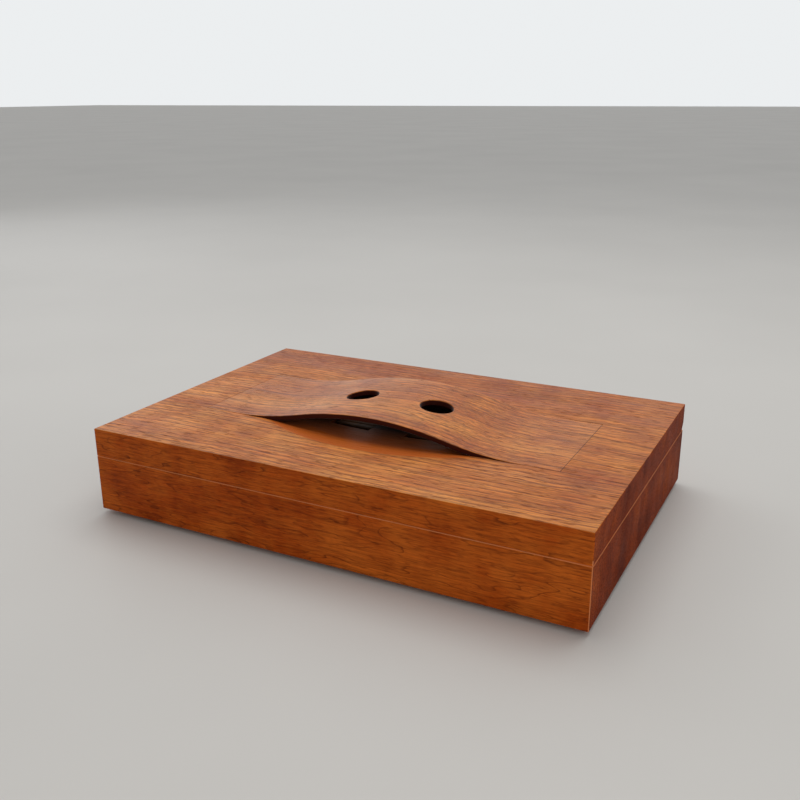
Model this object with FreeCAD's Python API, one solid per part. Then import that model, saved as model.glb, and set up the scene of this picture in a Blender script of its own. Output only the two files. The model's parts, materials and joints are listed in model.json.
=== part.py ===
import FreeCAD, Part
import math
import os

from FreeCAD import Vector

# A shallow wooden puzzle box. A base tray on four feet carries a lid that turns on two pins
# hidden at the back. The lid's top has a lift-out panel, bent into a wave, with two finger
# holes. Under the holes lie two finger slides, and each one drives a bolt through the lid's
# front into the base.
#
# Millimetres. +X runs along the front to the right, +Y to the back, +Z up. The origin is on
# the surface that the feet stand on, under the middle of the box.

# ---- the case -------------------------------------------------------------------------------
box_length = 300.0
box_width = 200.0
base_height = 34.0
lid_height = 17.0
board = 8.0                   # thickness of the case boards
top_board = 8.0               # thickness of the lid's top
arris = 0.35                  # small bevel on the case's outer edges
bottom_thickness = 4.0
bottom_recess = 3.0           # from the boards' lower edge up to the bottom panel
groove_depth = 4.0
groove_clearance = 0.2        # free depth past the bottom panel, for the wood to move
spline_thickness = 3.0
spline_length = 7.0
spline_stop = 3.0             # from a spline's end to the nearest edge or groove

# ---- the liner and the feet -----------------------------------------------------------------
liner = 5.0
liner_head_room = 0.6         # from the risen front and side liners up to the lid's top
liner_drop = 0.3              # the back liner's top, below the seam
lid_liner_gap = 0.3           # between the liner and the lid's boards
felt_thickness = 1.5
felt_margin = 0.3
foot_projection = 3.0
foot_diameter = 16.0
foot_inset = 24.0             # from the box's faces to the middle of a foot
foot_taper = 0.6

# ---- the wave panel -------------------------------------------------------------------------
panel_length = 228.0
panel_width = 80.0
panel_thickness = 3.0
panel_clearance = 0.25
wave_height = 11.5
wave_half_width = 96.0
crest_radius = 200.0
rib_thickness = 8.0           # of the rib that closes the wave at its back
rib_half_length = 84.0
lip_round = 0.5
finger_hole_diameter = 20.0
finger_hole_offset = 25.0     # from the middle of the box to each hole
finger_hole_round = 0.7
dish_depth = 6.0              # the hollow in the lid under the wave
dish_half_length = 91.0
dish_half_width = 60.0
dish_back = 28.0              # from the middle to the wall where the dish ends
dish_swing = 1.2              # how far the dish's cut runs, as a share of its half length
dish_brow = 40.0              # radius that rolls the dish's rim into the top
magnet_diameter = 6.0
panel_magnet_height = 1.4
lid_magnet_height = 2.0
magnet_gap = 0.1
magnet_end_inset = 17.0       # from the panel's end
magnet_side_inset = 15.0      # from the panel's long edge

# ---- the lock -------------------------------------------------------------------------------
deck_thickness = 3.0
deck_lift = 0.5               # from the seam up to the deck's underside
deck_length = 196.0
deck_gap = 7.0                # from the deck's front and back edges to the liner
lock_length = 161.0           # the free space between the strips on the deck
lock_width = 81.5
bolt_width = 10.0
bolt_thickness = 2.5
bolt_travel = 5.5
bolt_set_back = 1.0           # from the liner to the drawn bolt's nose
bolt_clearance = 0.15
bolt_nose = 0.6
keeper_clearance = 0.5        # beside and above the bolt, in its keeper
slide_width = 26.0
slide_length = 30.0
slide_height = 7.4
slide_round = 1.2
slide_clearance = 0.3
rib_pitch = 3.0
rib_count = 8
rib_radius = 1.1
rib_sink = 0.8
slide_tail = 3.0              # from the bolt's inner end to the slide's back
stop_peg_diameter = 3.0
stop_peg_clearance = 0.2
stop_peg_from_edge = 18.0     # from the deck's front edge
keeper_length = 24.0
keeper_screw_spacing = 18.0

# ---- the hinge ------------------------------------------------------------------------------
pin_inset = 5.0               # from the box's back face
pin_height = 5.6              # above the seam
pin_diameter = 3.0
pin_fit = 0.03                # radial clearance in the bush
pin_reach = 6.5               # how far the pin stands out of its arm
back_bevel = 5.0
knuckle_radius = 2.9
arm_thickness = 2.5
arm_leg_width = 18.0
arm_leg_depth = 28.0
arm_screws_below_seam = (4.5, 15.0)
arm_gap = 0.35                # between the arm and the lid
arm_swing_room = 0.9          # past the pin, for the arm with the lid open
liner_stop = 14.0             # the risen side liner ends this far from the back face
hinge_notch = 13.0
bush_wall = 1.0

# ---- screws: head diameter, shank diameter, length -------------------------------------------
deck_screw = (5.0, 2.6, 12.0)
arm_screw = (5.0, 2.6, 10.0)
foot_screw = (5.0, 2.6, 7.0)
slide_screw = (4.4, 2.2, 6.0)
keeper_screw = (3.4, 1.8, 13.0)
foot_screw_recess = 2.6
screw_tip = 0.2               # radius of a screw's blunt end
slot_width = 0.6
slot_depth = 0.5
deck_screw_inset = 11.0

# ---- levels and faces that follow from them ---------------------------------------------------
half_length = box_length / 2
half_width = box_width / 2
inner_x = half_length - board
inner_y = half_width - board
liner_x = inner_x - liner
liner_y = inner_y - liner
underside_z = foot_projection
seam_z = underside_z + base_height
top_z = seam_z + lid_height
top_under_z = top_z - top_board
panel_seat_z = top_z - panel_thickness
bottom_z = underside_z + bottom_recess
floor_z = bottom_z + bottom_thickness
liner_top_z = top_under_z - liner_head_room
deck_z = seam_z + deck_lift
deck_top_z = deck_z + deck_thickness
bolt_z = deck_top_z + bolt_clearance
bolt_top_z = bolt_z + bolt_thickness
pin_y = half_width - pin_inset
pin_z = seam_z + pin_height
arm_x = liner_x + arm_thickness
liner_end_y = half_width - liner_stop
deck_x = deck_length / 2
deck_y = liner_y - deck_gap

X_AXIS = Vector(1, 0, 0)
Y_AXIS = Vector(0, 1, 0)
Z_AXIS = Vector(0, 0, 1)
ORIGIN = Vector(0, 0, 0)
SNAP = 0.01                   # points closer than this count as one


def block(x0, x1, y0, y1, z0, z1):
    """A box between two corners."""
    return Part.makeBox(x1 - x0, y1 - y0, z1 - z0, Vector(x0, y0, z0))


def centred(half_x, half_y, z0, z1):
    """A box about the middle of the part."""
    return block(-half_x, half_x, -half_y, half_y, z0, z1)


def rod(radius, start, direction, length):
    return Part.makeCylinder(radius, length, start, direction)


def extrude_outline(points, direction):
    """A prism from a closed outline."""
    wire = Part.makePolygon(points + [points[0]])
    return Part.Face(wire).extrude(direction)


def to_right(shape):
    """The right-hand twin of a left-hand piece."""
    return shape.mirror(ORIGIN, X_AXIS)


def to_back(shape):
    return shape.mirror(ORIGIN, Y_AXIS)


def all_corners(shape):
    """A shape and its twins in the other three corners."""
    pair = [shape, to_right(shape)]
    return pair + [to_back(item) for item in pair]


def cut_all(shape, tools):
    for tool in tools:
        shape = shape.cut(tool)
    return shape


def middle_of(edge):
    return edge.valueAt((edge.FirstParameter + edge.LastParameter) / 2)


def edges_in(shape, low, high):
    """The edges that lie wholly between two corners."""
    found = []
    for edge in shape.Edges:
        box = edge.BoundBox
        inside_x = box.XMin >= low.x and box.XMax <= high.x
        inside_y = box.YMin >= low.y and box.YMax <= high.y
        inside_z = box.ZMin >= low.z and box.ZMax <= high.z
        if inside_x and inside_y and inside_z:
            found.append(edge)
    return found


def screw_blank(size, head_centre, direction):
    """A countersunk screw without its slot, which is also the shape of its hole."""
    head_diameter, shank_diameter, length = size
    head = head_diameter / 2
    shank = shank_diameter / 2
    sink = head - shank
    tip = shank
    profile = [
        Vector(0, 0, 0),
        Vector(head, 0, 0),
        Vector(shank, 0, sink),
        Vector(shank, 0, length - tip),
        Vector(screw_tip, 0, length),
        Vector(0, 0, length),
    ]
    wire = Part.makePolygon(profile + [profile[0]])
    solid = Part.Face(wire).revolve(ORIGIN, Z_AXIS, 360)
    turn = FreeCAD.Rotation(Z_AXIS, direction)
    solid.Placement = FreeCAD.Placement(head_centre, turn)
    return solid


def screw(size, head_centre, direction):
    """A slotted countersunk screw, driven from head_centre along direction."""
    reach = size[0]
    slot = block(-reach, reach, -slot_width / 2, slot_width / 2, -slot_depth, slot_depth)
    turn = FreeCAD.Rotation(Z_AXIS, direction)
    slot.Placement = FreeCAD.Placement(head_centre, turn)
    return screw_blank(size, head_centre, direction).cut(slot)


nodes = {}


def keep(name, shape):
    """Name a piece: one solid, or a group of separate solids."""
    solids = shape.Solids if hasattr(shape, "Solids") else shape
    flat = [solid for item in solids for solid in item.Solids]
    nodes[name] = flat[0] if len(flat) == 1 else Part.makeCompound(flat)


# ---- shapes that several pieces share ---------------------------------------------------------
def mitred_boards(z0, z1):
    """Four case boards, mitred at the corners, as plain prisms."""
    outer = [(-half_length, -half_width), (half_length, -half_width)]
    inner = [(inner_x, -inner_y), (-inner_x, -inner_y)]
    front = extrude_outline([Vector(x, y, z0) for x, y in outer + inner], Z_AXIS * (z1 - z0))
    outer = [(-half_length, half_width), (-half_length, -half_width)]
    inner = [(-inner_x, -inner_y), (-inner_x, inner_y)]
    left = extrude_outline([Vector(x, y, z0) for x, y in outer + inner], Z_AXIS * (z1 - z0))
    return {"front": front, "back": to_back(front), "left": left, "right": to_right(left)}


def case_envelope(z0, z1):
    """The outside of the base or the lid, with its small bevels."""
    body = centred(half_length, half_width, z0, z1)
    return body.makeChamfer(arris, body.Edges)


def corner_spline(z0, z1):
    """A thin board across the mitre of the front left corner."""
    middle = Vector(-(inner_x + half_length) / 2, -(inner_y + half_width) / 2, z0)
    spline = Part.makeBox(spline_length, spline_thickness, z1 - z0,
                          Vector(-spline_length / 2, -spline_thickness / 2, 0))
    spline.Placement = FreeCAD.Placement(middle, FreeCAD.Rotation(Z_AXIS, -45))
    return spline


def wave_outline(sink):
    """The wave panel's upper line, or the line that lies sink below it, from left to right."""
    turn = 2 * math.atan(wave_height / wave_half_width)
    foot_radius = wave_half_width / math.sin(turn) - crest_radius + sink
    top_radius = crest_radius - sink
    foot_centre_z = top_z + foot_radius - sink
    crest_centre_z = top_z + wave_height - crest_radius
    end_x = panel_length / 2

    def on_foot(angle):
        """A point on the left hollow arc, by its turn from the flat."""
        x = -wave_half_width + foot_radius * math.sin(angle)
        return Vector(x, 0, foot_centre_z - foot_radius * math.cos(angle))

    def on_crest(angle):
        x = top_radius * math.sin(angle)
        return Vector(x, 0, crest_centre_z + top_radius * math.cos(angle))

    def flipped(point):
        return Vector(-point.x, 0, point.z)

    left_end = Vector(-end_x, 0, top_z - sink)
    left_foot = Part.Arc(on_foot(0), on_foot(turn / 2), on_foot(turn))
    crest = Part.Arc(on_foot(turn), on_crest(0), flipped(on_foot(turn)))
    right_foot = Part.Arc(flipped(on_foot(turn)), flipped(on_foot(turn / 2)), flipped(on_foot(0)))
    return [
        Part.LineSegment(left_end, on_foot(0)).toShape(),
        left_foot.toShape(),
        crest.toShape(),
        right_foot.toShape(),
        Part.LineSegment(flipped(on_foot(0)), flipped(left_end)).toShape(),
    ]


def dish_tool():
    """The hollow under the wave: an arc across the box, swung about a line far above it, and
    cut off at the back."""
    lift = dish_depth / 3
    across = (dish_half_width ** 2 + dish_depth ** 2) / (2 * dish_depth)
    along = (dish_half_length ** 2 + dish_depth ** 2) / (2 * dish_depth)
    lowest = Vector(0, 0, top_z - dish_depth)
    rim_y = math.sqrt(across ** 2 - (across - dish_depth - lift) ** 2)
    front = Vector(0, -rim_y, top_z + lift)
    back = Vector(0, rim_y, top_z + lift)
    edges = [Part.Arc(front, lowest, back).toShape(), Part.LineSegment(back, front).toShape()]
    swing_centre = Vector(0, 0, top_z - dish_depth + along)
    swing = dish_swing * math.degrees(math.asin(dish_half_length / along))
    profile = Part.Face(Part.Wire(edges))
    profile.rotate(swing_centre, Y_AXIS, -swing)
    bowl = profile.revolve(swing_centre, Y_AXIS, 2 * swing)
    behind = block(-half_length, half_length, dish_back, half_width, bottom_z, top_z + along)
    return bowl.cut(behind)


def magnet(height, z0):
    """One magnet near the panel's front left corner."""
    x = -panel_length / 2 + magnet_end_inset
    y = -panel_width / 2 + magnet_side_inset
    return rod(magnet_diameter / 2, Vector(x, y, z0), Z_AXIS, height)


# ---- the base ---------------------------------------------------------------------------------
bottom_panel = centred(inner_x + groove_depth, inner_y + groove_depth, bottom_z, floor_z)
bottom_groove = centred(inner_x + groove_depth + groove_clearance,
                        inner_y + groove_depth + groove_clearance, bottom_z, floor_z)
base_spline = corner_spline(floor_z + spline_stop, seam_z - spline_stop)
base_splines = all_corners(base_spline)

foot_x = -half_length + foot_inset
foot_y = -half_width + foot_inset
foot_height = foot_projection + bottom_recess
foot_screw_head = Vector(foot_x, foot_y, foot_screw_recess)
foot_blank = Part.makeCone(foot_diameter / 2 - foot_taper, foot_diameter / 2, foot_height,
                           Vector(foot_x, foot_y, 0))
foot_access = rod(foot_screw[0] / 2, Vector(foot_x, foot_y, 0), Z_AXIS, foot_screw_recess)
foot_hole = screw_blank(foot_screw, foot_screw_head, Z_AXIS)
foot = foot_blank.cut(foot_access).cut(foot_hole)
foot_names = ["foot_front_left", "foot_front_right", "foot_back_left", "foot_back_right"]
for name, piece in zip(foot_names, all_corners(foot)):
    keep(name, piece)
keep("foot_screws", all_corners(screw(foot_screw, foot_screw_head, Z_AXIS)))
keep("bottom_panel", cut_all(bottom_panel, all_corners(foot_hole)))
keep("base_splines", base_splines)

# Each hinge arm is a flat plate: a leg let into the side liner, and an ear back to the pin.
leg_back_y = liner_end_y
leg_front_y = leg_back_y - arm_leg_width
ear_top_z = pin_z + knuckle_radius
arm_leg = block(-arm_x, -liner_x, leg_front_y, leg_back_y, pin_z - arm_leg_depth, ear_top_z)
arm_ear = block(-arm_x, -liner_x, leg_back_y, pin_y, pin_z, ear_top_z)
arm_knuckle = rod(knuckle_radius, Vector(-arm_x, pin_y, pin_z), X_AXIS, arm_thickness)
hinge_pin = rod(pin_diameter / 2, Vector(-arm_x - pin_reach, pin_y, pin_z), X_AXIS,
                pin_reach + arm_thickness)
arm_screw_y = (leg_front_y + leg_back_y) / 2
arm_screw_heads = []
for drop in arm_screws_below_seam:
    arm_screw_heads.append(Vector(-liner_x, arm_screw_y, seam_z - drop))
arm_screw_holes = [screw_blank(arm_screw, head, -X_AXIS) for head in arm_screw_heads]
hinge_arm = arm_leg.fuse([arm_ear, arm_knuckle]).removeSplitter()
hinge_arm = cut_all(hinge_arm, [hinge_pin] + arm_screw_holes)
arm_screws = [screw(arm_screw, head, -X_AXIS) for head in arm_screw_heads]
keep("hinge_arm_left", hinge_arm)
keep("hinge_arm_right", to_right(hinge_arm))
keep("hinge_pin_left", hinge_pin)
keep("hinge_pin_right", to_right(hinge_pin))
keep("hinge_screws", arm_screws + [to_right(item) for item in arm_screws])

side_liner = block(-inner_x, -liner_x, -inner_y, liner_end_y, floor_z, liner_top_z)
side_liner = side_liner.cut(block(-inner_x, -inner_x + lid_liner_gap, -inner_y, liner_end_y,
                                  seam_z, liner_top_z))
side_liner = side_liner.cut(block(-inner_x, -liner_x, -inner_y, -inner_y + lid_liner_gap,
                                  seam_z, liner_top_z))
low_end = block(-inner_x, -liner_x, liner_end_y, inner_y, floor_z, seam_z - liner_drop)
side_liner = side_liner.fuse(low_end).removeSplitter()
side_liner = cut_all(side_liner, [arm_leg] + arm_screw_holes)
keep("liner_left", side_liner)
keep("liner_right", to_right(side_liner))
keep("liner_back", block(-liner_x, liner_x, liner_y, inner_y, floor_z, seam_z - liner_drop))

# Each bolt slides under a brass keeper, a bridge let into the top of the front liner and
# screwed down to it.
bolt_x = finger_hole_offset
keeper_front_y = -inner_y + lid_liner_gap
keeper_blank = block(-bolt_x - keeper_length / 2, -bolt_x + keeper_length / 2,
                     keeper_front_y, -liner_y, seam_z, liner_top_z)
archway = block(-bolt_x - bolt_width / 2 - keeper_clearance,
                -bolt_x + bolt_width / 2 + keeper_clearance,
                keeper_front_y, -liner_y, seam_z, bolt_top_z + keeper_clearance)
keeper_heads = []
for side in (-1, 1):
    keeper_heads.append(Vector(-bolt_x + side * keeper_screw_spacing / 2,
                               (keeper_front_y - liner_y) / 2, liner_top_z))
keeper_holes = [screw_blank(keeper_screw, head, -Z_AXIS) for head in keeper_heads]
keeper_screws = [screw(keeper_screw, head, -Z_AXIS) for head in keeper_heads]
keeper = cut_all(keeper_blank, [archway] + keeper_holes)
keep("keeper_left", keeper)
keep("keeper_right", to_right(keeper))
keep("keeper_screws", keeper_screws + [to_right(item) for item in keeper_screws])

front_liner = block(-liner_x, liner_x, -inner_y, -liner_y, floor_z, liner_top_z)
front_liner = front_liner.cut(block(-liner_x, liner_x, -inner_y, keeper_front_y,
                                    seam_z, liner_top_z))
keeper_cuts = [keeper_blank] + keeper_holes
front_liner = cut_all(front_liner, keeper_cuts + [to_right(tool) for tool in keeper_cuts])
keep("liner_front", front_liner)
keep("base_felt", centred(liner_x - felt_margin, liner_y - felt_margin,
                          floor_z, floor_z + felt_thickness))

base_cuts = [bottom_groove] + base_splines + arm_screw_holes
base_cuts += [to_right(tool) for tool in arm_screw_holes]
base_shape = case_envelope(underside_z, seam_z)
for side, blank in mitred_boards(underside_z, seam_z).items():
    keep("base_" + side, cut_all(blank.common(base_shape), base_cuts))

# ---- the lid's frame --------------------------------------------------------------------------
top_outer = [(-half_length, -half_width), (half_length, -half_width),
             (half_length, half_width), (-half_length, half_width)]
top_inner = [(-inner_x, -inner_y), (inner_x, -inner_y), (inner_x, inner_y), (-inner_x, inner_y)]


def level_wire(points, z):
    corners = [Vector(x, y, z) for x, y in points]
    return Part.makePolygon(corners + [corners[0]])


lid_shape = case_envelope(seam_z, top_z)
bevel_outline = [
    Vector(-half_length, half_width - back_bevel, seam_z),
    Vector(-half_length, half_width, seam_z),
    Vector(-half_length, half_width, seam_z + back_bevel),
]
lid_shape = lid_shape.cut(extrude_outline(bevel_outline, X_AXIS * box_length))
top_blank = Part.makeLoft([level_wire(top_inner, top_under_z), level_wire(top_outer, top_z)],
                          True, True)

lid_spline = corner_spline(seam_z + spline_stop, top_under_z)
lid_splines = [lid_spline, to_right(lid_spline)]
keep("lid_splines", lid_splines)

notch_x = arm_x + arm_gap
hinge_room = block(-notch_x, -notch_x + hinge_notch, inner_y, pin_y + arm_swing_room,
                   seam_z, ear_top_z + arm_gap)
knuckle_room = rod(knuckle_radius + arm_gap, Vector(-notch_x, pin_y, pin_z), X_AXIS,
                   hinge_notch)
bush_radius = pin_diameter / 2 + pin_fit + bush_wall
bush_length = pin_reach
bush_start = Vector(-notch_x - bush_length, pin_y, pin_z)
bush_seat = rod(bush_radius, bush_start, X_AXIS, bush_length)
hinge_bush = bush_seat.cut(rod(pin_diameter / 2 + pin_fit, bush_start, X_AXIS, bush_length))
keep("hinge_bush_left", hinge_bush)
keep("hinge_bush_right", to_right(hinge_bush))
left_hinge_cuts = [hinge_room, knuckle_room, bush_seat]
lid_cuts = lid_splines + left_hinge_cuts + [to_right(tool) for tool in left_hinge_cuts]
for side, blank in mitred_boards(seam_z, top_z).items():
    keep("lid_" + side, cut_all(blank.cut(top_blank).common(lid_shape), lid_cuts))

# ---- the wave panel and the dished top it lies in ------------------------------------------------
upper = wave_outline(0)
lower = wave_outline(panel_thickness)
end_x = panel_length / 2
ends = []
for x in (-end_x, end_x):
    ends.append(Part.LineSegment(Vector(x, 0, top_z), Vector(x, 0, panel_seat_z)).toShape())
panel_wire = Part.Wire(Part.__sortEdges__(upper + lower + ends))
panel = Part.Face(panel_wire).extrude(Y_AXIS * panel_width)
panel.translate(Y_AXIS * (-panel_width / 2))
lip_edges = []
for side in (-1, 1):
    y = side * panel_width / 2
    lip_edges += edges_in(panel, Vector(-end_x, y - SNAP, top_z - SNAP),
                          Vector(end_x, y + SNAP, top_z + wave_height + SNAP))
panel = panel.makeFillet(lip_round, lip_edges)
hole_tools = []
for side in (-1, 1):
    start = Vector(side * finger_hole_offset, 0, panel_seat_z)
    hole_tools.append(rod(finger_hole_diameter / 2, start, Z_AXIS, 2 * wave_height))
panel = cut_all(panel, hole_tools)
rims = []
for edge in panel.Edges:
    middle = middle_of(edge)
    from_axis = math.hypot(middle.x, middle.z - (top_z + wave_height - crest_radius))
    from_hole = math.hypot(abs(middle.x) - finger_hole_offset, middle.y)
    on_top = abs(from_axis - crest_radius) < SNAP
    on_hole = abs(from_hole - finger_hole_diameter / 2) < SNAP
    if on_top and on_hole:
        rims.append(edge)
panel = panel.makeFillet(finger_hole_round, rims)
panel_magnets = all_corners(magnet(panel_magnet_height, panel_seat_z + magnet_gap / 2))
magnet_seats = all_corners(magnet(panel_magnet_height + magnet_gap / 2, panel_seat_z))
keep("wave_panel", cut_all(panel, magnet_seats))
keep("panel_magnets", panel_magnets)

# The rib fills the wave's back opening. Its outline is the space under the wave's lower line.
under_wire = Part.Wire(Part.__sortEdges__(lower + [
    Part.LineSegment(Vector(-end_x, 0, panel_seat_z), Vector(-end_x, 0, bottom_z)).toShape(),
    Part.LineSegment(Vector(-end_x, 0, bottom_z), Vector(end_x, 0, bottom_z)).toShape(),
    Part.LineSegment(Vector(end_x, 0, bottom_z), Vector(end_x, 0, panel_seat_z)).toShape(),
]))
under_wave = Part.Face(under_wire).extrude(Y_AXIS * rib_thickness)
under_wave.translate(Y_AXIS * (panel_width / 2 - rib_thickness))
rib_blank = block(-rib_half_length, rib_half_length, panel_width / 2 - rib_thickness,
                  panel_width / 2, panel_seat_z, top_z + wave_height)
keep("wave_rib", rib_blank.common(under_wave))

rebate_y = panel_width / 2 + panel_clearance
rebate = centred(panel_length / 2 + panel_clearance, rebate_y, panel_seat_z, top_z)
dish = dish_tool()
slide_slots = []
for side in (-1, 1):
    middle_x = side * finger_hole_offset
    reach_x = slide_width / 2 + slide_clearance
    reach_y = (slide_length + bolt_travel) / 2 + slide_clearance
    slide_slots.append(block(middle_x - reach_x, middle_x + reach_x, -reach_y, reach_y,
                             top_under_z, top_z))
lid_top = cut_all(top_blank.common(lid_shape), [rebate, dish] + slide_slots)
brow_edges = []
for edge in lid_top.Edges:
    middle = middle_of(edge)
    on_top = abs(middle.z - top_z) < SNAP
    past_rebate = rebate_y + SNAP < abs(middle.y) < inner_y
    if on_top and abs(middle.x) < dish_half_length and past_rebate:
        brow_edges.append(edge)
lid_top = lid_top.makeFillet(dish_brow, brow_edges)

deck_screw_heads = []
for x in (-1, 0, 1):
    for y in (-1, 1):
        deck_screw_heads.append(Vector(x * (deck_x - deck_screw_inset),
                                       y * (deck_y - deck_screw_inset), deck_z))
for x in (-1, 1):
    deck_screw_heads.append(Vector(x * (deck_length + lock_length) / 4, 0, deck_z))
deck_holes = [screw_blank(deck_screw, head, Z_AXIS) for head in deck_screw_heads]
lid_magnet_z = panel_seat_z - magnet_gap / 2 - lid_magnet_height
lid_magnet_seats = all_corners(magnet(lid_magnet_height + magnet_gap / 2, lid_magnet_z))
keep("lid_magnets", all_corners(magnet(lid_magnet_height, lid_magnet_z)))
keep("lid_top", cut_all(lid_top, deck_holes + lid_magnet_seats))
keep("deck_screws", [screw(deck_screw, head, Z_AXIS) for head in deck_screw_heads])

# ---- the lock: deck, strips, bolts and finger slides ----------------------------------------------
strip_x = lock_length / 2
strip_y = lock_width / 2
slot_x0 = bolt_x - bolt_width / 2 - bolt_clearance
slot_x1 = bolt_x + bolt_width / 2 + bolt_clearance
peg_y = -deck_y + stop_peg_from_edge
peg = rod(stop_peg_diameter / 2, Vector(-bolt_x, peg_y, deck_z), Z_AXIS,
          top_under_z - deck_z - bolt_clearance)
keep("stop_pegs", [peg, to_right(peg)])
keep("deck", cut_all(centred(deck_x, deck_y, deck_z, deck_top_z),
                     deck_holes + [peg, to_right(peg)]))
guide_outer = block(-deck_x, -slot_x1, -deck_y, -strip_y, deck_top_z, top_under_z)
guide_middle = block(-slot_x0, slot_x0, -deck_y, -strip_y, deck_top_z, top_under_z)
side_strip = block(-deck_x, -strip_x, -strip_y, strip_y, deck_top_z, top_under_z)
back_strip = block(-deck_x, deck_x, strip_y, deck_y, deck_top_z, top_under_z)
keep("guide_left", cut_all(guide_outer, deck_holes))
keep("guide_right", cut_all(to_right(guide_outer), deck_holes))
keep("guide_middle", cut_all(guide_middle, deck_holes))
keep("strip_left", cut_all(side_strip, deck_holes))
keep("strip_right", cut_all(to_right(side_strip), deck_holes))
keep("strip_back", cut_all(back_strip, deck_holes))

slide_y = bolt_travel / 2
slide_back_y = slide_y + slide_length / 2
nose_y = -liner_y + bolt_set_back
bolt_back_y = slide_back_y - slide_tail
bolt_bar = block(-bolt_x - bolt_width / 2, -bolt_x + bolt_width / 2, nose_y, bolt_back_y,
                 bolt_z, bolt_top_z)
slot_radius = stop_peg_diameter / 2 + stop_peg_clearance
slot_front = Vector(-bolt_x, peg_y, bolt_z)
slot_back = slot_front + Y_AXIS * bolt_travel
bolt_slot = rod(slot_radius, slot_front, Z_AXIS, bolt_thickness)
bolt_slot = bolt_slot.fuse(rod(slot_radius, slot_back, Z_AXIS, bolt_thickness))
bolt_slot = bolt_slot.fuse(block(-bolt_x - slot_radius, -bolt_x + slot_radius,
                                 slot_front.y, slot_back.y, bolt_z, bolt_top_z))
slide_head = Vector(-bolt_x, slide_y, bolt_z)
slide_hole = screw_blank(slide_screw, slide_head, Z_AXIS)
nose_edges = edges_in(bolt_bar, Vector(-bolt_x - bolt_width, nose_y - SNAP, bolt_z - SNAP),
                      Vector(-bolt_x + bolt_width, nose_y + SNAP, bolt_top_z + SNAP))
bolt = cut_all(bolt_bar.makeChamfer(bolt_nose, nose_edges), [bolt_slot, slide_hole])

slide_z = bolt_z + slide_height
slide = block(-bolt_x - slide_width / 2, -bolt_x + slide_width / 2,
              slide_y - slide_length / 2, slide_back_y, bolt_z, slide_z)
upper_edges = edges_in(slide, Vector(-bolt_x - slide_width, -slide_length, slide_z - SNAP),
                       Vector(-bolt_x + slide_width, slide_length, slide_z + SNAP))
slide = slide.makeFillet(slide_round, upper_edges)
for index in range(rib_count):
    y = slide_y + (index - (rib_count - 1) / 2) * rib_pitch
    hollow = Vector(-bolt_x - slide_width, y, slide_z + rib_radius - rib_sink)
    slide = slide.cut(rod(rib_radius, hollow, X_AXIS, 2 * slide_width))
slide = cut_all(slide, [bolt_bar, slide_hole])
slide_fixing = screw(slide_screw, slide_head, Z_AXIS)
for side, place in (("left", lambda shape: shape), ("right", to_right)):
    keep("bolt_" + side, place(bolt))
    keep("finger_slide_" + side, place(slide))
    keep("slide_screw_" + side, place(slide_fixing))

# ---- write the pieces ---------------------------------------------------------------------------
os.makedirs("parts", exist_ok=True)
for name, shape in nodes.items():
    if not shape.isValid():
        raise ValueError("the piece " + name + " isn't a valid solid")
    shape.exportStep("parts/" + name + ".step")
print("wrote", len(nodes), "pieces")
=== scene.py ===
import json

import bmesh
import bpy
from mathutils import Matrix, Vector, noise


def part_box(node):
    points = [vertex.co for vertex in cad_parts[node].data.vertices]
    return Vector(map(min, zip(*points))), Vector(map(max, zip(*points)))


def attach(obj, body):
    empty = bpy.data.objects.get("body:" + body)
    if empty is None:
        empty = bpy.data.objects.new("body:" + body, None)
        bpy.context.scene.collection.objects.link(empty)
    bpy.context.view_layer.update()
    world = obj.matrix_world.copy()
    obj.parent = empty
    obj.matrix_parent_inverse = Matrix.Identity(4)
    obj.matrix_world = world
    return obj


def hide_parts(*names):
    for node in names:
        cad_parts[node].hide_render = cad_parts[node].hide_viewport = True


# The looks of the wooden puzzle box. Metres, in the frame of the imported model: +X along the
# front to the right, +Y to the hinged back, +Z up, origin on the floor under the middle.

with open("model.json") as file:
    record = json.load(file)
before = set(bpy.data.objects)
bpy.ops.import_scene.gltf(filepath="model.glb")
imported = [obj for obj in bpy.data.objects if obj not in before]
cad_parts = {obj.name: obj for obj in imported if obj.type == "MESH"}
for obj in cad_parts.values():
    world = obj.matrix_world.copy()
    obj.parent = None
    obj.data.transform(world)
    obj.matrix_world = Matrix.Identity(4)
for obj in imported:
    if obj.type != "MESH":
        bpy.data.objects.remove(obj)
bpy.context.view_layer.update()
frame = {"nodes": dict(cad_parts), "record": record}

# ---- camera ---------------------------------------------------------------------------------
CAMERA_PLACE = (0.24431, -0.46891, 0.24056)
CAMERA_RIGHT = (0.88804, 0.45973, -0.00512)
CAMERA_DOWN = (0.14119, -0.28330, -0.94858)
SENSOR_WIDTH_MM = 36.0
LENS_MM = 41.59
CLIP_START = 0.01

# ---- studio ---------------------------------------------------------------------------------
FLOOR_HALF = 15.0
FLOOR_COLOUR = (0.62, 0.61, 0.59)
FLOOR_CLOUDS = (3.0, 3.0, 3.0)    # cells of noise per metre
FLOOR_TINT = [(0.3, 0.97), (0.7, 1.03)]
FLOOR_ROUGHNESS = 0.62
FLOOR_SPECULAR = 0.3
SKY_BRIGHT = (0.84, 0.86, 0.87)
SKY_DIM = (0.38, 0.37, 0.36)
SKY_BRIGHT_SIDE = Vector((-0.45, 0.89, 0.0)).normalized()
SKY_BRIGHT_FROM = 0.80            # how squarely a direction must face that side to be brightest
LIGHTS = {
    # name: place, aim, width, height, watts, colour
    "overhead": ((0.05, 0.30, 1.30), (0.0, 0.0, 0.05), 1.2, 0.9, 6.5, (1.0, 0.98, 0.95)),
    "back_left": ((-1.30, 0.55, 0.75), (0.0, 0.0, 0.05), 0.9, 0.9, 2.0, (0.97, 0.98, 1.0)),
    "front_right": ((0.70, -0.85, 0.50), (0.05, -0.1, 0.03), 0.8, 0.8, 1.8, (1.0, 0.97, 0.94)),
}

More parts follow.
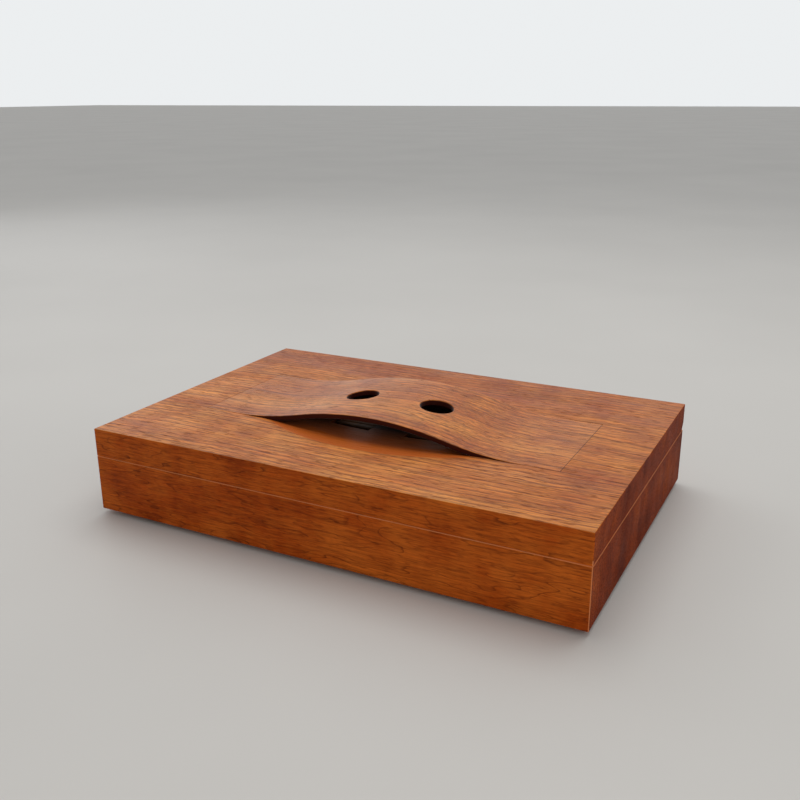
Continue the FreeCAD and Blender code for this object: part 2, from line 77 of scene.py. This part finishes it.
# ---- the felt lining ------------------------------------------------------------------------
FELT_CELL = 0.0025            # spacing of the felt's mesh
FELT_RELIEF = 0.00012         # how far its surface rises and falls
FELT_RELIEF_SCALE = 60.0
FELT_ROUGHENING = (1.0, 2.0, 3)   # each finer octave's weakening, its scale, and how many
FELT_EDGE_DROP = 0.0005       # how far the pressed edge lies below the rest


def as_colour(rgb):
    return (rgb[0], rgb[1], rgb[2], 1.0)


class Nodes:
    """A short way to write one material's nodes."""

    def __init__(self, name):
        self.material = bpy.data.materials.new(name)
        self.material.use_nodes = True
        self.tree = self.material.node_tree
        self.shader = self.tree.nodes["Principled BSDF"]

    def put(self, socket, value):
        if isinstance(value, bpy.types.NodeSocket):
            self.tree.links.new(value, socket)
        else:
            socket.default_value = value

    def add(self, kind, inputs=None, **settings):
        node = self.tree.nodes.new(kind)
        for key, value in settings.items():
            setattr(node, key, value)
        for key, value in (inputs or {}).items():
            self.put(node.inputs[key], value)
        return node

    def set(self, **values):
        """Set the shader's sockets, named with _ for a space."""
        for key, value in values.items():
            self.put(self.shader.inputs[key.replace("_", " ")], value)

    def place(self):
        return self.add("ShaderNodeTexCoord").outputs["Object"]

    def surface_normal(self):
        return self.add("ShaderNodeTexCoord").outputs["Normal"]

    def math(self, operation, a, b=0.0):
        return self.add("ShaderNodeMath", {0: a, 1: b}, operation=operation).outputs[0]

    def vector(self, operation, a, b=(0.0, 0.0, 0.0)):
        node = self.add("ShaderNodeVectorMath", {0: a, 1: b}, operation=operation)
        return node.outputs["Vector"]

    def split(self, vector):
        node = self.add("ShaderNodeSeparateXYZ", {0: vector})
        return node.outputs["X"], node.outputs["Y"], node.outputs["Z"]

    def join(self, x, y, z):
        return self.add("ShaderNodeCombineXYZ", {0: x, 1: y, 2: z}).outputs[0]

    def noise(self, place, cells, detail=2.0, roughness=0.5, colour=False):
        """Noise with this many cells per metre along each axis."""
        stretched = self.vector("MULTIPLY", place, cells)
        inputs = {"Vector": stretched, "Scale": 1.0, "Detail": detail, "Roughness": roughness}
        node = self.add("ShaderNodeTexNoise", inputs, noise_dimensions="3D")
        return node.outputs["Color" if colour else "Fac"]

    def ramp(self, value, stops, smooth=False):
        """A colour or grey for each value, from stops of (value, grey or colour)."""
        node = self.add("ShaderNodeValToRGB", {0: value})
        node.color_ramp.interpolation = "EASE" if smooth else "LINEAR"
        elements = node.color_ramp.elements
        while len(elements) < len(stops):
            elements.new(0.5)
        for element, (at, colour) in zip(elements, stops):
            element.position = at
            grey = (colour, colour, colour) if isinstance(colour, (int, float)) else colour
            element.color = as_colour(grey)
        return node.outputs[0]

    def blend(self, factor, a, b, mode="MIX"):
        node = self.add("ShaderNodeMix", data_type="RGBA", blend_type=mode)
        self.put(node.inputs["Factor"], factor)
        self.put(node.inputs["A"], as_colour(a) if isinstance(a, tuple) else a)
        self.put(node.inputs["B"], as_colour(b) if isinstance(b, tuple) else b)
        return node.outputs["Result"]

    def rescale(self, value, low, high, new_low=0.0, new_high=1.0):
        """The value, moved from the range low to high into the new range and kept inside it."""
        inputs = {"Value": value, "From Min": low, "From Max": high,
                  "To Min": new_low, "To Max": new_high}
        return self.add("ShaderNodeMapRange", inputs).outputs[0]

    def bump(self, height, distance):
        inputs = {"Height": height, "Distance": distance, "Strength": 1.0}
        self.set(Normal=self.add("ShaderNodeBump", inputs).outputs[0])


# ---- wood -----------------------------------------------------------------------------------
# Every wood is a solid block: its growth layers are shells round a far axis, bent by slow
# noise, so a face cut along them shows loops and a face cut across them shows straight lines.

# Cells of noise per metre: along the grain, and the two ways across it.
SLOW_BEND = (6.0, 4.0, 40.0)
FINE_BEND = (52.0, 30.0, 140.0)
LINE_BREAKS = (70.0, 220.0, 220.0)
TONE_BANDS = (2.2, 40.0, 1.0)     # along the grain, into the tree, and none
TONE_PATCHES = (42.0, 26.0, 34.0)
COARSE_FIBRES = (14.0, 420.0, 420.0)
FINE_FIBRES = (55.0, 1100.0, 1100.0)
ROUGH_PATCHES = (20.0, 60.0, 60.0)
PORES_ALONG = 120.0
FLECKS_ALONG = 140.0

# Shares, and ramps of (value, strength).
NOISE_MIDDLE = 0.5
SLOW_BEND_SHARE = 4.0             # of the wood's wander
FINE_BEND_SHARE = 0.32
DARKEST_AT = 0.75                 # of the way through a layer's dark end
RING_STRENGTHS = [(0.0, 0.20), (0.5, 0.60), (1.0, 1.0)]   # some layers end in a stronger line
BREAK_STRENGTHS = [(0.32, 0.35), (0.48, 1.0)]             # and each line fades in places
BAND_SLICE = 3.7                  # which slice of the noise the bands are
BAND_SHARE = 0.58
PATCH_SHARE = 0.42
HEARTWOOD_SCALE = 2.0
HEARTWOOD_REACH = [(0.42, 1.0), (0.62, 0.0)]
TONE_PLACES = (0.36, 0.50, 0.64)  # where the dark, body and pale tones lie
COARSE_SHARE = 0.35
FINE_SHARE = 0.65
FIBRE_RANGE = (0.40, 0.60)
PORE_CUT = [(0.55, 0.0), (0.64, 1.0)]
FLECK_CUT = [(0.36, 1.0), (0.45, 0.0)]
FLECK_STRENGTH = 0.35
FLECK_SHIFT = (0.5, 0.3, 0.2)     # so that the pale flecks aren't where the pores are
ROUGH_RANGE = (0.3, 0.7)
PORE_ROUGHNESS = 0.2
SHEEN_ROUGHNESS = 0.35
WOOD_RELIEF = 0.00006
FIBRE_RELIEF = 0.5
LINE_RELIEF = 0.4

# Marks on some faces, mostly painted light and shade, found by which way a face looks and where
# it is.
END_FACES = [(0.60, 0.0), (0.90, 1.0)]
SLANTED_FACES = [(0.80, 1.0), (0.97, 0.0)]
UPRIGHT_FACES = [(0.35, 1.0), (0.80, 0.0)]
SEAM_HIGHLIGHT = (0.80, 0.30, 0.12)    # painted highlight on the base's upper edge at the seam
SEAM_HIGHLIGHT_STRENGTH = 0.70
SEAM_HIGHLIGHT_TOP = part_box("base_front")[1].z + 0.003   # above this height no highlight is painted on the edges
LOOKS_LEVEL_OR_UP = -0.1
UPRIGHT_SHADE = (0.040, 0.005, 0.002)  # painted shade on the panel's upright faces: the lip and the hole walls
HOLLOW_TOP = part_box("lid_top")[1].z - 0.0002        # the hollow in the lid lies below this
# A painted glow: the saturated orange of light bounced about in the shaded hollow.
HOLLOW_GLOW = (0.50, 0.095, 0.001)
LOOKS_NOT_DOWN = -0.5
UNDER_WAVE_SHADE = (0.016, 0.004, 0.002)     # painted shade inside the hollow, under the wave
PANEL_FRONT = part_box("wave_panel")[0].y
SHADE_START = PANEL_FRONT + 0.014   # the painted shade comes in between these two, front to back
SHADE_FULL = PANEL_FRONT + 0.030
LOOKS_DOWN = -0.2


class Wood:
    """What one wood looks like."""

    def __init__(self, name, pale, body, dark, line, **changes):
        self.name = name
        self.pale = pale
        self.body = body
        self.dark = dark
        self.line = line
        self.along = "X"              # the grain's direction
        self.heart = (0.30, 0.015)    # the far axis, across the grain
        self.layer = 0.0034           # thickness of a growth layer
        self.wander = 0.0080          # how far the layers bend
        self.late_start = 0.84        # where in a layer its dark end starts
        self.line_strength = 0.90
        self.pore_strength = 0.55
        self.pores_per_metre = 1050.0
        self.streak = 0.34            # how far the fibres' tone goes up and down
        self.heartwood = 0.0          # how much darker the wood is towards its heart
        self.roughness = (0.34, 0.46)
        self.specular = 0.12
        self.sheen = 0.0
        self.end_grain_and_shade = 0.0          # how much darker its left and right faces are: end grain, and partly painted shade
        self.painted_seam_highlight = False        # whether a pale highlight is painted on its edges at the seam
        self.painted_upright_shade = 0.0          # how much painted shade darkens its upright faces
        self.painted_hollow_glow = 0.0       # how strong the painted glow of bounced light is in the hollow
        self.painted_shade_below = False    # whether painted shade darkens its underside
        self.shift = (0.0, 0.0, 0.0)
        for key, value in changes.items():
            setattr(self, key, value)


def layer_stops(late_start):
    """How dark the wood is through one layer: a thin line half-way, and a dark end."""
    darkest = late_start + DARKEST_AT * (1.0 - late_start)
    return [(0.0, 0.45), (0.04, 0.0), (0.44, 0.0), (0.50, 0.25), (0.54, 0.0),
            (late_start, 0.10), (darkest, 1.0), (1.0, 0.90)]


def growth_layers(n, wood, grain):
    """The depth into the tree, and the dark line that ends each growth layer."""
    slow = n.noise(grain, SLOW_BEND, detail=3.0, roughness=0.52)
    fine = n.noise(grain, FINE_BEND)
    y, z = n.split(grain)[1:]
    across = n.math("SUBTRACT", y, wood.heart[0])
    up = n.math("SUBTRACT", z, wood.heart[1])
    squares = n.math("ADD", n.math("MULTIPLY", across, across), n.math("MULTIPLY", up, up))
    depth = n.math("SQRT", squares)
    for bend, share in ((slow, SLOW_BEND_SHARE), (fine, FINE_BEND_SHARE)):
        offset = n.math("MULTIPLY", n.math("SUBTRACT", bend, NOISE_MIDDLE), wood.wander * share)
        depth = n.math("ADD", depth, offset)
    count = n.math("DIVIDE", depth, wood.layer)
    ring_noise = n.add("ShaderNodeTexWhiteNoise", {"W": n.math("FLOOR", count)},
                       noise_dimensions="1D")
    strength = n.ramp(ring_noise.outputs["Value"], RING_STRENGTHS)
    late = n.ramp(n.math("FRACT", count), layer_stops(wood.late_start))
    whole = n.ramp(n.noise(grain, LINE_BREAKS, detail=3.0, roughness=0.6), BREAK_STRENGTHS)
    lines = n.math("MULTIPLY", n.math("MULTIPLY", late, strength), whole)
    return depth, n.math("MULTIPLY", lines, wood.line_strength)


def wood_tone(n, wood, grain, depth):
    """Broad bands that follow the layers, and soft patches across them."""
    x = n.split(grain)[0]
    bands = n.noise(n.join(x, depth, BAND_SLICE), TONE_BANDS, detail=3.0, roughness=0.55)
    patches = n.noise(grain, TONE_PATCHES, detail=3.0, roughness=0.55)
    tone = n.math("ADD", n.math("MULTIPLY", bands, BAND_SHARE),
                  n.math("MULTIPLY", patches, PATCH_SHARE))
    heartwood = n.ramp(n.math("MULTIPLY", depth, HEARTWOOD_SCALE), HEARTWOOD_REACH, smooth=True)
    return n.math("SUBTRACT", tone, n.math("MULTIPLY", heartwood, wood.heartwood))


def fibres_and_pores(n, wood, grain):
    """Fibres, and dark pores and pale flecks, short along the grain and dots on its ends."""
    coarse = n.noise(grain, COARSE_FIBRES, detail=2.0, roughness=0.6)
    fine = n.noise(grain, FINE_FIBRES, detail=3.0, roughness=0.7)
    fibres = n.math("ADD", n.math("MULTIPLY", coarse, COARSE_SHARE),
                    n.math("MULTIPLY", fine, FINE_SHARE))
    across = wood.pores_per_metre
    pores = n.noise(grain, (PORES_ALONG, across, across), detail=2.0, roughness=0.6)
    fleck_place = n.vector("ADD", grain, FLECK_SHIFT)
    flecks = n.noise(fleck_place, (FLECKS_ALONG, across, across), detail=2.0, roughness=0.6)
    return fibres, n.ramp(pores, PORE_CUT), n.ramp(flecks, FLECK_CUT)


def mark_faces(n, wood, place, colour):
    """Darker end grain, partly painted shade; painted seam highlight, upright shade, hollow glow
    and under-wave shade.
    """
    normal = n.surface_normal()
    looks_up = n.split(normal)[2]
    size_x, size_y, size_z = n.split(n.vector("ABSOLUTE", normal))
    inward, height = n.split(place)[1:]
    # The left and right faces are darkened partly for end grain and partly as painted shade on
    # the sides turned from the light.
    if wood.end_grain_and_shade:
        end = n.ramp(size_x, END_FACES)
        colour = n.blend(n.math("MULTIPLY", end, wood.end_grain_and_shade), colour, wood.line)
    # A pale highlight is painted on the upper edges at the seam, where the arris would catch the
    # light.
    if wood.painted_seam_highlight:
        largest = n.math("MAXIMUM", size_x, n.math("MAXIMUM", size_y, size_z))
        edge = n.ramp(largest, SLANTED_FACES)
        edge = n.math("MULTIPLY", edge, n.math("LESS_THAN", height, SEAM_HIGHLIGHT_TOP))
        edge = n.math("MULTIPLY", edge, n.math("GREATER_THAN", looks_up, LOOKS_LEVEL_OR_UP))
        colour = n.blend(n.math("MULTIPLY", edge, SEAM_HIGHLIGHT_STRENGTH), colour, SEAM_HIGHLIGHT)
    # Painted shade darkens the upright faces, such as the lip under the wave and the walls of the
    # finger holes.
    if wood.painted_upright_shade:
        upright = n.ramp(size_z, UPRIGHT_FACES)
        colour = n.blend(n.math("MULTIPLY", upright, wood.painted_upright_shade), colour, UPRIGHT_SHADE)
    # The hollow gets a painted orange glow of bounced light.
    if wood.painted_hollow_glow:
        hollow = n.math("MULTIPLY", n.math("LESS_THAN", height, HOLLOW_TOP),
                        n.math("GREATER_THAN", looks_up, LOOKS_NOT_DOWN))
        colour = n.blend(n.math("MULTIPLY", hollow, wood.painted_hollow_glow), colour, HOLLOW_GLOW)
        # Painted shade darkens the hollow from front to back under the wave.
        shaded = n.rescale(inward, SHADE_START, SHADE_FULL)
        colour = n.blend(n.math("MULTIPLY", hollow, shaded), colour, UNDER_WAVE_SHADE)
    # Painted shade darkens the faces that look down.
    if wood.painted_shade_below:
        colour = n.blend(n.math("LESS_THAN", looks_up, LOOKS_DOWN), colour, UNDER_WAVE_SHADE)
    return colour


def wood_material(wood):
    n = Nodes(wood.name)
    place = n.place()
    x, y, z = n.split(n.vector("ADD", place, wood.shift))
    grain = n.join(y, x, z) if wood.along == "Y" else n.join(x, y, z)
    depth, lines = growth_layers(n, wood, grain)
    fibres, pores, flecks = fibres_and_pores(n, wood, grain)

    tones = list(zip(TONE_PLACES, (wood.dark, wood.body, wood.pale)))
    colour = n.ramp(wood_tone(n, wood, grain, depth), tones)
    low, high = FIBRE_RANGE
    fibre_tone = n.ramp(fibres, [(low, 1.0 - wood.streak), (high, 1.0 + wood.streak)])
    colour = n.blend(1.0, colour, fibre_tone, "MULTIPLY")
    colour = n.blend(lines, colour, wood.line)
    colour = n.blend(n.math("MULTIPLY", pores, wood.pore_strength), colour, wood.line)
    colour = n.blend(n.math("MULTIPLY", flecks, FLECK_STRENGTH), colour, wood.pale)
    colour = mark_faces(n, wood, place, colour)

    patches = n.noise(grain, ROUGH_PATCHES)
    rough = n.rescale(patches, *ROUGH_RANGE, *wood.roughness)
    rough = n.math("ADD", rough, n.math("MULTIPLY", pores, PORE_ROUGHNESS))
    n.set(Base_Color=colour, Roughness=rough, Specular_IOR_Level=wood.specular,
          Sheen_Weight=wood.sheen, Sheen_Roughness=SHEEN_ROUGHNESS)

    relief = n.math("SUBTRACT", n.math("MULTIPLY", fibres, FIBRE_RELIEF), pores)
    relief = n.math("SUBTRACT", relief, n.math("MULTIPLY", lines, LINE_RELIEF))
    n.bump(relief, WOOD_RELIEF)
    return n.material


# Four tones for each wood: pale, body, dark and the dark lines.
CASE_TONES = [(0.53, 0.118, 0.012), (0.37, 0.060, 0.004), (0.17, 0.019, 0.002),
              (0.050, 0.005, 0.001)]
SIDE_TONES = [(0.62, 0.115, 0.010), (0.38, 0.054, 0.005), (0.14, 0.015, 0.002),
              (0.050, 0.005, 0.001)]
# The top's tones are paler and yellower than the front's, partly to paint the sheen the top
# catches.
TOP_TONES_WITH_SHEEN = [(0.66, 0.245, 0.046), (0.53, 0.158, 0.023), (0.36, 0.080, 0.011),
             (0.130, 0.022, 0.004)]
LINER_TONES = [(0.42, 0.150, 0.045), (0.30, 0.090, 0.024), (0.18, 0.046, 0.013),
               (0.07, 0.016, 0.006)]
INNER_TONES = [(0.66, 0.42, 0.21), (0.55, 0.31, 0.14), (0.42, 0.21, 0.085), (0.24, 0.10, 0.04)]
# The slides' tones are very dark, partly as painted shade for where they sit deep below the
# finger holes.
SLIDE_TONES = [(0.110, 0.055, 0.030), (0.075, 0.036, 0.020), (0.045, 0.022, 0.012),
               (0.020, 0.010, 0.006)]
WOODS = [
    Wood("case_wood", *CASE_TONES, painted_seam_highlight=True, specular=0.06, pore_strength=0.32,
         streak=0.24, layer=0.0017, line_strength=0.75),
    Wood("side_case_wood", *SIDE_TONES, painted_seam_highlight=True, end_grain_and_shade=0.45, specular=0.04,
         roughness=(0.50, 0.62)),
    Wood("top_wood", *TOP_TONES_WITH_SHEEN, heartwood=0.06, sheen=0.08, line_strength=0.85,
         pores_per_metre=800.0, layer=0.0046, late_start=0.64, painted_hollow_glow=0.85,
         specular=0.14),
    Wood("panel_wood", *TOP_TONES_WITH_SHEEN, heartwood=0.06, sheen=0.34, line_strength=0.85,
         pores_per_metre=800.0, layer=0.0046, late_start=0.64, painted_upright_shade=1.0,
         painted_shade_below=True),
    Wood("liner_wood", *LINER_TONES, shift=(1.3, 0.0, 0.0), roughness=(0.42, 0.55)),
    Wood("side_liner_wood", *LINER_TONES, along="Y", shift=(1.3, 0.4, 0.0),
         roughness=(0.42, 0.55)),
    Wood("inner_wood", *INNER_TONES, shift=(2.1, 0.0, 0.0), roughness=(0.55, 0.70),
         line_strength=0.5, pore_strength=0.35),
    Wood("side_inner_wood", *INNER_TONES, along="Y", shift=(2.1, 0.7, 0.0),
         roughness=(0.55, 0.70), line_strength=0.5, pore_strength=0.35),
    Wood("slide_wood", *SLIDE_TONES, shift=(3.3, 0.0, 0.0), layer=0.0018,
         roughness=(0.34, 0.46)),
]


# ---- metal, rubber and felt -----------------------------------------------------------------
# Cells of noise per metre along each axis.
SCRATCHES = (90.0, 2600.0, 2600.0)
TARNISH = (160.0, 160.0, 160.0)
RUBBER_GRAIN = (2400.0, 2400.0, 2400.0)
RUBBER_DUST = (220.0, 220.0, 220.0)
FELT_TANGLE = (420.0, 420.0, 420.0)
FELT_HAIRS_ONE = (350.0, 3600.0, 3600.0)
FELT_HAIRS_TWO = (3600.0, 350.0, 3600.0)
FELT_CLOUDS = (70.0, 70.0, 70.0)

METALS = {
    # name: bright colour, dull colour, roughness from and to
    "brass": ((0.80, 0.56, 0.24), (0.52, 0.33, 0.12), (0.24, 0.42)),
    "steel": ((0.62, 0.62, 0.62), (0.44, 0.44, 0.45), (0.22, 0.38)),
}
TARNISH_CUT = [(0.35, 0.0), (0.70, 1.0)]
METAL_ROUGH_RANGE = (0.7, 1.3)
METAL_RELIEF = 0.000012
RUBBER = (0.022, 0.022, 0.023)
DUSTY_RUBBER = (0.060, 0.056, 0.052)
DUST_CUT = [(0.40, 0.0), (0.75, 0.6)]
RUBBER_ROUGHNESS = 0.78
RUBBER_SPECULAR = 0.35
RUBBER_RELIEF = 0.00006
FELT_TONES = [(0.42, (0.016, 0.026, 0.020)), (0.60, (0.050, 0.072, 0.056)),
              (0.78, (0.115, 0.150, 0.122))]
FELT_TANGLE_REACH = (0.006, 0.006, 0.006)
FELT_CLOUD_TINT = [(0.30, 0.85), (0.70, 1.15)]
FELT_ROUGHNESS = 0.95
FELT_SPECULAR = 0.1
FELT_SHEEN = 0.35
FELT_SHEEN_ROUGHNESS = 0.5
FELT_SHEEN_TINT = (0.55, 0.68, 0.58)
FELT_CLOUD_RELIEF = 0.4
FELT_HAIR_HEIGHT = 0.00018


def metal_material(name, bright, dull, roughness):
    """Ground metal with fine scratches and a little tarnish."""
    n = Nodes(name)
    place = n.place()
    scratches = n.noise(place, SCRATCHES, detail=2.0, roughness=0.6)
    tarnish = n.noise(place, TARNISH, detail=4.0, roughness=0.6)
    colour = n.blend(n.ramp(tarnish, TARNISH_CUT), bright, dull)
    rough = n.rescale(n.math("ADD", scratches, tarnish), *METAL_ROUGH_RANGE, *roughness)
    n.set(Base_Color=colour, Roughness=rough, Metallic=1.0)
    n.bump(scratches, METAL_RELIEF)
    return n.material


def rubber_material(name):
    n = Nodes(name)
    place = n.place()
    grain = n.noise(place, RUBBER_GRAIN, detail=2.0, roughness=0.6)
    dust = n.noise(place, RUBBER_DUST, detail=3.0, roughness=0.6)
    colour = n.blend(n.ramp(dust, DUST_CUT), RUBBER, DUSTY_RUBBER)
    n.set(Base_Color=colour, Roughness=RUBBER_ROUGHNESS, Specular_IOR_Level=RUBBER_SPECULAR)
    n.bump(grain, RUBBER_RELIEF)
    return n.material


def felt_material(name):
    """Wool felt: matted fibres in slightly different greens, with a soft sheen."""
    n = Nodes(name)
    place = n.place()
    wander = n.noise(place, FELT_TANGLE, colour=True)
    tangled = n.vector("ADD", place, n.vector("MULTIPLY", wander, FELT_TANGLE_REACH))
    hairs_one = n.noise(tangled, FELT_HAIRS_ONE, detail=2.0, roughness=0.6)
    hairs_two = n.noise(tangled, FELT_HAIRS_TWO, detail=2.0, roughness=0.6)
    hairs = n.math("MAXIMUM", hairs_one, hairs_two)
    clouds = n.noise(place, FELT_CLOUDS, detail=4.0, roughness=0.6)
    colour = n.blend(1.0, n.ramp(hairs, FELT_TONES), n.ramp(clouds, FELT_CLOUD_TINT), "MULTIPLY")
    n.set(Base_Color=colour, Roughness=FELT_ROUGHNESS, Specular_IOR_Level=FELT_SPECULAR,
          Sheen_Weight=FELT_SHEEN, Sheen_Roughness=FELT_SHEEN_ROUGHNESS,
          Sheen_Tint=as_colour(FELT_SHEEN_TINT))
    cloud_height = n.math("MULTIPLY", clouds, FELT_CLOUD_RELIEF)
    n.bump(n.math("ADD", hairs, cloud_height), FELT_HAIR_HEIGHT)
    return n.material


materials = {wood.name: wood_material(wood) for wood in WOODS}
for metal_name, metal_look in METALS.items():
    materials[metal_name] = metal_material(metal_name, *metal_look)
materials["foot_rubber"] = rubber_material("foot_rubber")
materials["felt"] = felt_material("felt")

# ---- the CAD nodes get their materials ---------------------------------------------------------
OWN_WOOD = {
    "wave_panel": "panel_wood",
    "wave_rib": "panel_wood",
    "lid_top": "top_wood",
    "base_left": "side_case_wood",
    "base_right": "side_case_wood",
    "lid_left": "side_case_wood",
    "lid_right": "side_case_wood",
    "liner_left": "side_liner_wood",
    "liner_right": "side_liner_wood",
    "strip_left": "side_inner_wood",
    "strip_right": "side_inner_wood",
}
for subpart in frame["record"]["subparts"]:
    node = subpart["node"]
    look = OWN_WOOD.get(node, subpart["material_slot"])
    for material_slot in frame["nodes"][node].material_slots:
        material_slot.material = materials[look]


# ---- the felt lining ---------------------------------------------------------------------------
def felt_lining():
    """A thin slab of felt with a slightly uneven surface and a pressed edge."""
    low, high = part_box("base_felt")
    columns = round((high.x - low.x) / FELT_CELL)
    rows = round((high.y - low.y) / FELT_CELL)
    mesh = bmesh.new()
    bmesh.ops.create_grid(mesh, x_segments=columns, y_segments=rows, size=0.5)
    size = high - low
    for vertex in mesh.verts:
        vertex.co.x = low.x + (vertex.co.x + 0.5) * size.x
        vertex.co.y = low.y + (vertex.co.y + 0.5) * size.y
        vertex.co.z = low.z
    made = bmesh.ops.extrude_face_region(mesh, geom=mesh.faces[:])
    for vertex in made["geom"]:
        if isinstance(vertex, bmesh.types.BMVert):
            wave = noise.fractal(vertex.co * FELT_RELIEF_SCALE, *FELT_ROUGHENING)
            to_edge = min(vertex.co.x - low.x, high.x - vertex.co.x,
                          vertex.co.y - low.y, high.y - vertex.co.y)
            pressed = FELT_EDGE_DROP * max(0.0, 1.0 - to_edge / FELT_CELL)
            vertex.co.z = high.z - FELT_RELIEF + FELT_RELIEF * wave - pressed
    bmesh.ops.recalc_face_normals(mesh, faces=mesh.faces[:])
    data = bpy.data.meshes.new("felt_lining")
    mesh.to_mesh(data)
    mesh.free()
    for face in data.polygons:
        face.use_smooth = True
    data.materials.append(materials["felt"])
    lining = bpy.data.objects.new("felt_lining", data)
    bpy.context.scene.collection.objects.link(lining)
    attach(lining, "base")
    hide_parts("base_felt")


felt_lining()


# ---- floor, light and camera -------------------------------------------------------------------
def floor():
    data = bpy.data.meshes.new("floor")
    corners = [(-FLOOR_HALF, -FLOOR_HALF, 0.0), (FLOOR_HALF, -FLOOR_HALF, 0.0),
               (FLOOR_HALF, FLOOR_HALF, 0.0), (-FLOOR_HALF, FLOOR_HALF, 0.0)]
    data.from_pydata(corners, [], [(0, 1, 2, 3)])
    n = Nodes("floor")
    tint = n.ramp(n.noise(n.place(), FLOOR_CLOUDS, detail=3.0), FLOOR_TINT)
    n.set(Base_Color=n.blend(1.0, FLOOR_COLOUR, tint, "MULTIPLY"), Roughness=FLOOR_ROUGHNESS,
          Specular_IOR_Level=FLOOR_SPECULAR)
    data.materials.append(n.material)
    plane = bpy.data.objects.new("floor", data)
    bpy.context.scene.collection.objects.link(plane)


def sky():
    """A plain pale room, brighter on one side."""
    world = bpy.data.worlds.new("room")
    world.use_nodes = True
    tree = world.node_tree
    direction = tree.nodes.new("ShaderNodeTexCoord").outputs["Generated"]
    facing = tree.nodes.new("ShaderNodeVectorMath")
    facing.operation = "DOT_PRODUCT"
    tree.links.new(direction, facing.inputs[0])
    facing.inputs[1].default_value = SKY_BRIGHT_SIDE
    ramp = tree.nodes.new("ShaderNodeValToRGB")
    ramp.color_ramp.interpolation = "EASE"
    ramp.color_ramp.elements[0].position = 0.0
    ramp.color_ramp.elements[0].color = as_colour(SKY_DIM)
    ramp.color_ramp.elements[1].position = SKY_BRIGHT_FROM
    ramp.color_ramp.elements[1].color = as_colour(SKY_BRIGHT)
    tree.links.new(facing.outputs["Value"], ramp.inputs[0])
    tree.links.new(ramp.outputs[0], tree.nodes["Background"].inputs["Color"])
    bpy.context.scene.world = world


def area_light(name, place, aim, width, height, watts, colour):
    data = bpy.data.lights.new(name, "AREA")
    data.shape = "RECTANGLE"
    data.size = width
    data.size_y = height
    data.energy = watts
    data.color = colour
    lamp = bpy.data.objects.new(name, data)
    direction = Vector(aim) - Vector(place)
    lamp.location = place
    lamp.rotation_euler = direction.to_track_quat("-Z", "Y").to_euler()
    bpy.context.scene.collection.objects.link(lamp)


def camera():
    right = Vector(CAMERA_RIGHT)
    up = -Vector(CAMERA_DOWN)
    back = right.cross(up)
    data = bpy.data.cameras.new("camera")
    data.sensor_width = SENSOR_WIDTH_MM
    data.lens = LENS_MM
    data.clip_start = CLIP_START
    eye = bpy.data.objects.new("camera", data)
    turn = Matrix((right, up, back)).transposed().to_4x4()
    eye.matrix_world = Matrix.Translation(CAMERA_PLACE) @ turn
    bpy.context.scene.collection.objects.link(eye)
    bpy.context.scene.camera = eye


floor()
sky()
for light_name, settings in LIGHTS.items():
    area_light(light_name, *settings)
camera()
bpy.context.scene.view_settings.view_transform = "Standard"
